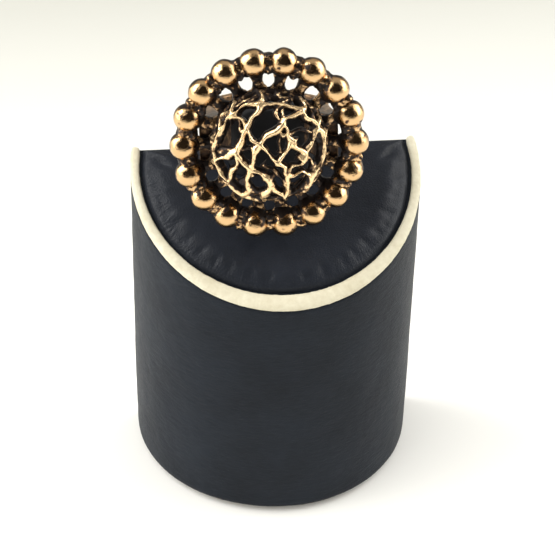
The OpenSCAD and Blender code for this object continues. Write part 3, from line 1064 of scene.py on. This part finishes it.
def make_tab():
    """Leather sleeve of the tab, with its glued seam standing up round the edge."""
    piece = tongue("tab_sleeve", 0.0, TAB_BOTTOM)
    remesh(piece, TAB_VOXEL, 3)
    points = points_of(piece.data)
    seam = np.exp(-((points[:, 1] - TAB_BACK) / 0.28) ** 2)
    outer = smooth_step(TAB_W / 2 - 0.9, TAB_W / 2 - 0.2, np.abs(points[:, 0]))
    outer = np.maximum(outer, smooth_step(TAB_REACH - 0.6, TAB_REACH - 0.1, points[:, 2]))
    swell = 0.16 * seam * outer + 0.07 * grain(points, 3.0, 51.0, 2)
    set_points(piece.data, points + normals_of(piece.data) * swell[:, None])
    hand_over(piece, TAB, "stand", "dark_leatherette", TAB_SKIN, "tab_cover")


make_pad()
make_tab()


# ---------------------------------------------------------------- stand: welt

WELT_PROFILE = ((0.0, -0.45), (0.0, 0.05), (0.06, 0.3), (0.2, 0.46), (0.45, 0.5), (0.7, 0.42),
                (0.88, 0.24), (0.97, 0.0), (0.99, -0.2), (0.9, -0.3), (0.4, -0.35))
WELT_STEPS, WELT_END_STEPS = 420, 5
CREASES_ROUND = 21


def front_strip(name, inner, outer, profile, steps, end_steps=0):
    """Strip round the front of the top.

    The profile is (share of the way outwards, height) points. Inner and outer are the half width
    and the reach forward of the strip's two edges. The strip narrows a little over its end steps.
    """
    side = math.asin(BACK_Y / STAND_R)
    slope = math.tan(TOP_SLOPE)
    vertices = []
    for step in range(steps + 1):
        angle = math.pi - side + (math.pi + 2 * side) * step / steps
        full = min(1.0, min(step, steps - step) / end_steps) if end_steps else 1.0
        near = Vector((inner[0] * math.cos(angle), min(inner[1] * math.sin(angle), BACK_Y)))
        far = Vector((outer[0] * math.cos(angle), min(outer[1] * math.sin(angle), BACK_Y)))
        for share, height in profile:
            spot = near.lerp(far, 0.5 + (share - 0.5) * (0.86 + 0.14 * full))
            level = TOP_Z + slope * spot.y + height * (0.8 + 0.2 * full) / math.cos(TOP_SLOPE)
            vertices.append((spot.x, spot.y, level))
    faces = [(face[0], *reversed(face[1:])) for face in tube_faces(steps + 1, len(profile))]
    return object_from(name, vertices, faces)


def make_welt():
    """Cream strip folded over the edge of the body, following the pad, with fine creases across it."""
    piece = front_strip("welt_strip", (PAD_HALF_W, PAD_FRONT), (STAND_R, STAND_R), WELT_PROFILE,
                        WELT_STEPS, WELT_END_STEPS)
    subdivide(piece, 2)
    points = points_of(piece.data)
    turn = np.arctan2(points[:, 0], -points[:, 1])
    reach = np.hypot(points[:, 0], points[:, 1])
    along = np.stack([turn * CREASES_ROUND, reach / 3.5, reach * 0], 1)
    creases = -0.05 * np.abs(grain(along, 0.8, 61.0, 2)) + 0.02 * grain(points, 1.1, 63.0, 2)
    wander = 0.05 * grain(np.stack([turn * CREASES_ROUND, reach * 0, reach * 0], 1), 4.0, 65.0, 2)
    points += normals_of(piece.data) * (creases + wander)[:, None]
    set_points(piece.data, points)
    hand_over(piece, SCALE, "stand", "pale_leatherette", CREAM, "welt")


make_welt()


# ---------------------------------------------------------------- stand: body wrap

HEM_PROFILE = ((0, -0.85), (0, -0.28), (1, -0.28), (1, -0.85))
HEM_OVER, HEM_INSET, HEM_STEPS = 1, 0.7, 160
WRAP_VOXEL = 0.3


def make_wrap():
    """Leatherette round the body, its top edge turned in under the welt, with slight waves."""
    sheet = copy_of_node("body_wrap", "sheet")
    hem = front_strip("hem", (PAD_HALF_W - HEM_OVER, PAD_FRONT - HEM_OVER),
                      (STAND_R - HEM_INSET, STAND_R - HEM_INSET), HEM_PROFILE, HEM_STEPS)
    set_points(hem.data, points_of(hem.data) * MM)
    piece = joined("wrap", [sheet, hem])
    remesh(piece, WRAP_VOXEL * MM, 3)
    points = points_of(piece.data) / MM
    height = (points[:, 2] - TOP_Z - math.tan(TOP_SLOPE) * points[:, 1]) * math.cos(TOP_SLOPE)
    radius = np.hypot(points[:, 0], points[:, 1])
    rim = smooth_step(STAND_R - 0.7, STAND_R - 0.4, radius)
    points[:, 2] += 0.25 * smooth_step(-1.3, -0.6, height) * rim
    normals = normals_of(piece.data)
    outside = smooth_step(STAND_R - 0.6, STAND_R - 0.1, radius)
    flat = points * np.array([1, 1, 0.5])
    waves = 0.10 * grain(flat, 9.0, 71.0, 2) + 0.03 * grain(points, 2.5, 73.0, 2)
    set_points(piece.data, points + normals * (waves * outside)[:, None])
    hand_over(piece, SCALE, "stand", "dark_leatherette", WRAP, "body_wrap")


make_wrap()
